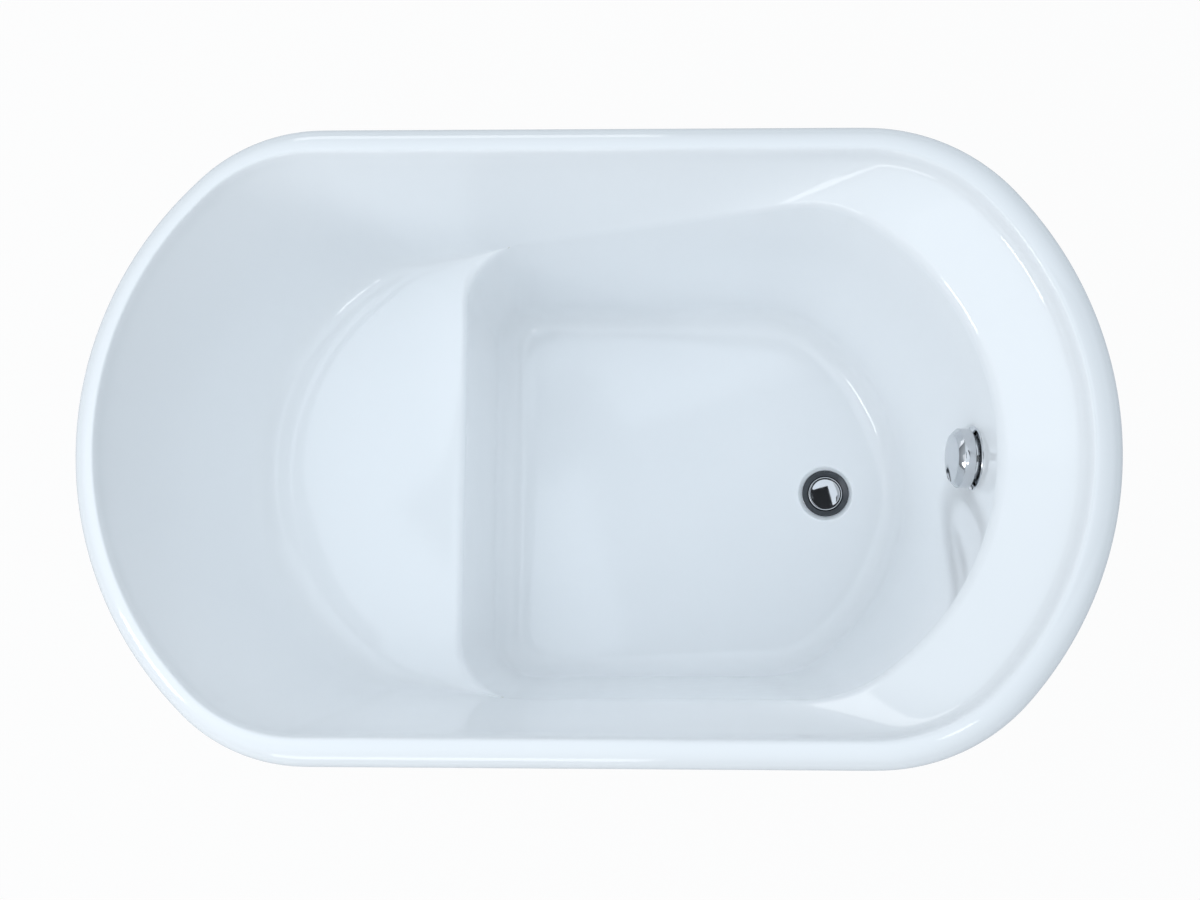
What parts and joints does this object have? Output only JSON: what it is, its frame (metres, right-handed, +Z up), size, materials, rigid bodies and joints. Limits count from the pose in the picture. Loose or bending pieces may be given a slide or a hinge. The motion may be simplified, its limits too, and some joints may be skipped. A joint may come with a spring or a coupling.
{
  "type": "sit-in bathtub",
  "caption": "Short free-standing acrylic bathtub with a moulded seat and deep footwell, a turn-knob waste and overflow set, an outer skirt and a steel frame on screw feet.",
  "frame": {"origin": "on the floor, under the middle of the rim", "axes": "+X along the tub's length towards the drain end, +Y across it, +Z up"},
  "size_m": [1.22, 0.753, 0.65],
  "materials": {
    "acrylic": "polished white",
    "plywood": "sealed",
    "zinc_steel": "zinc plated",
    "stainless": "turned",
    "rubber": "matt",
    "chrome": "polished",
    "grey_plastic": "moulded",
    "white_hose": "ribbed",
    "cable_sheath": "smooth"
  },
  "bodies": {
    "tub": {"inner_basin": "acrylic", "outer_skirt": "acrylic", "floor_board": "plywood", "seat_board": "plywood", "base_frame": "zinc_steel", "seat_posts": "zinc_steel", "skirt_brackets": "zinc_steel", "bracket_bolts": "zinc_steel", "board_screws": "zinc_steel", "foot_nuts": "zinc_steel", "drain_gasket": "rubber", "drain_seal": "rubber", "overflow_gasket": "rubber", "drain_flange": "chrome", "overflow_ring": "chrome", "waste_body": "grey_plastic", "outlet_pipe": "grey_plastic", "outlet_nut": "grey_plastic", "overflow_body": "grey_plastic", "hose_nut_top": "grey_plastic", "hose_nut_bottom": "grey_plastic", "overflow_hose": "white_hose", "control_cable": "cable_sheath"},
    "knob": {"overflow_knob": "chrome", "knob_spindle": "stainless", "cable_crank": "grey_plastic"},
    "plug": {"plug_cap": "chrome", "plug_seal": "rubber", "plug_stem": "grey_plastic"},
    "lifter": {"lift_pin": "stainless"},
    "foot_1": {"foot_pad_1": "rubber", "foot_stud_1": "zinc_steel"},
    "foot_2": {"foot_pad_2": "rubber", "foot_stud_2": "zinc_steel"},
    "foot_3": {"foot_pad_3": "rubber", "foot_stud_3": "zinc_steel"},
    "foot_4": {"foot_pad_4": "rubber", "foot_stud_4": "zinc_steel"}
  },
  "joints": [
    {"name": "foot_1_height", "type": "slide", "parent": "tub", "child": "foot_1", "axis": [0, 0, 1], "range_m": [-0.015, 0.015]},
    {"name": "foot_2_height", "type": "slide", "parent": "tub", "child": "foot_2", "axis": [0, 0, 1], "range_m": [-0.015, 0.015]},
    {"name": "foot_3_height", "type": "slide", "parent": "tub", "child": "foot_3", "axis": [0, 0, 1], "range_m": [-0.015, 0.015]},
    {"name": "foot_4_height", "type": "slide", "parent": "tub", "child": "foot_4", "axis": [0, 0, 1], "range_m": [-0.015, 0.015]},
    {"name": "knob_turn", "type": "hinge", "parent": "tub", "child": "knob", "pos_m": [0.46549, 0, 0.48], "axis": [-0.9923, 0, 0.1241], "range_deg": [0, 60]},
    {"name": "plug_lift", "type": "slide", "parent": "tub", "child": "plug", "axis": [0, 0, 1], "range_m": [0, 0.009]},
    {"name": "pin_lift", "type": "slide", "parent": "tub", "child": "lifter", "axis": [0, 0, 1], "range_m": [0, 0.009]}
  ],
  "couplings": [
    {"joint": "plug_lift", "follows": "knob_turn", "m_per_rad": 0.008594},
    {"joint": "pin_lift", "follows": "knob_turn", "m_per_rad": 0.008594}
  ]
}
